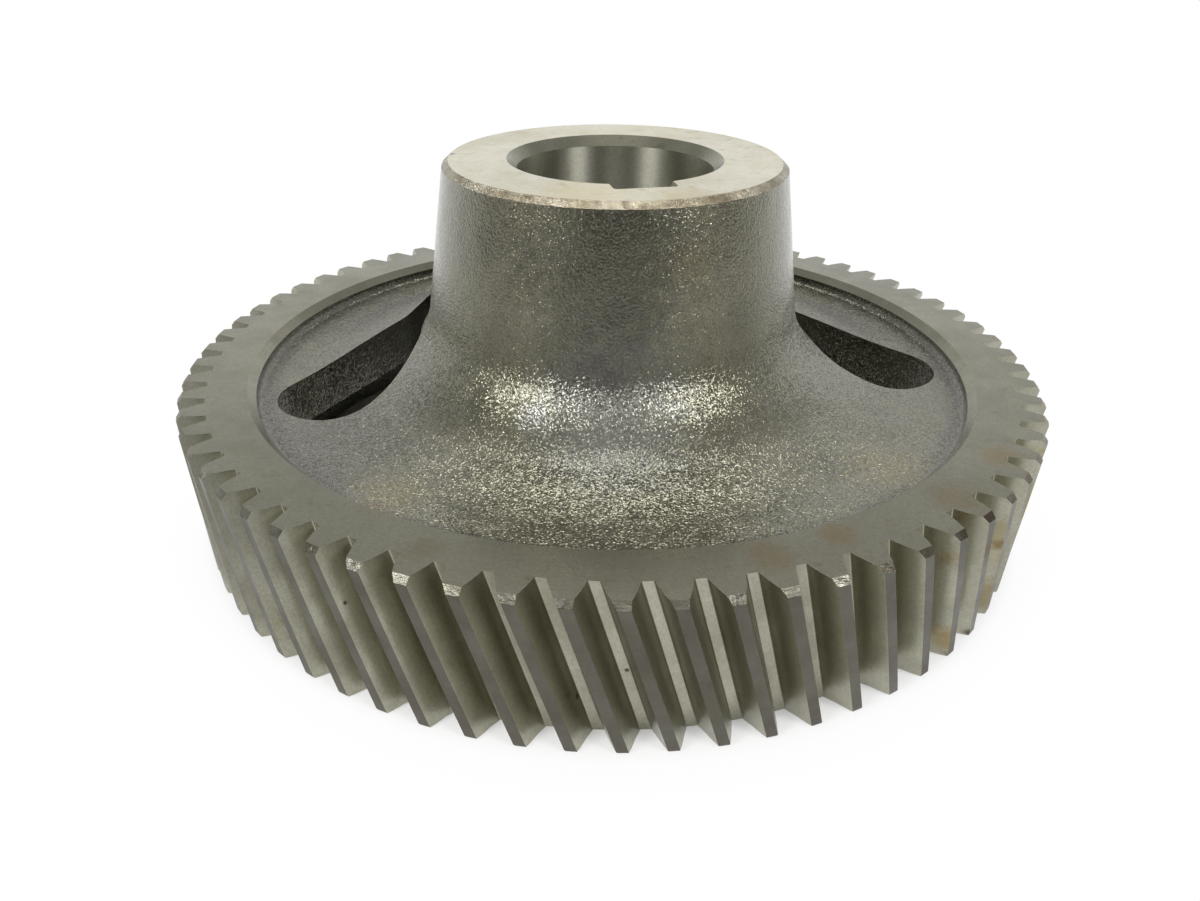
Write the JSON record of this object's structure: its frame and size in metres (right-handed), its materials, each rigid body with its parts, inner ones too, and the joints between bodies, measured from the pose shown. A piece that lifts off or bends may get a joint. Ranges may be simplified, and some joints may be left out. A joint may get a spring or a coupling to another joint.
{
  "type": "camshaft gear",
  "caption": "Left-hand helical camshaft gear with a tall flared hub, a keyed bore and long windows in its web.",
  "frame": {"origin": "on the gear's axis, in the plane of the lower tooth face, which it stands on", "axes": "+Z along the bore axis, towards the hub's far face"},
  "size_m": [0.1852, 0.1852, 0.0723],
  "materials": {
    "gear_casting": "as-cast web and hub, machined teeth, rim faces, hub face and bore, oiled"
  },
  "bodies": {
    "root": {"camshaft_gear": "gear_casting"}
  },
  "joints": []
}
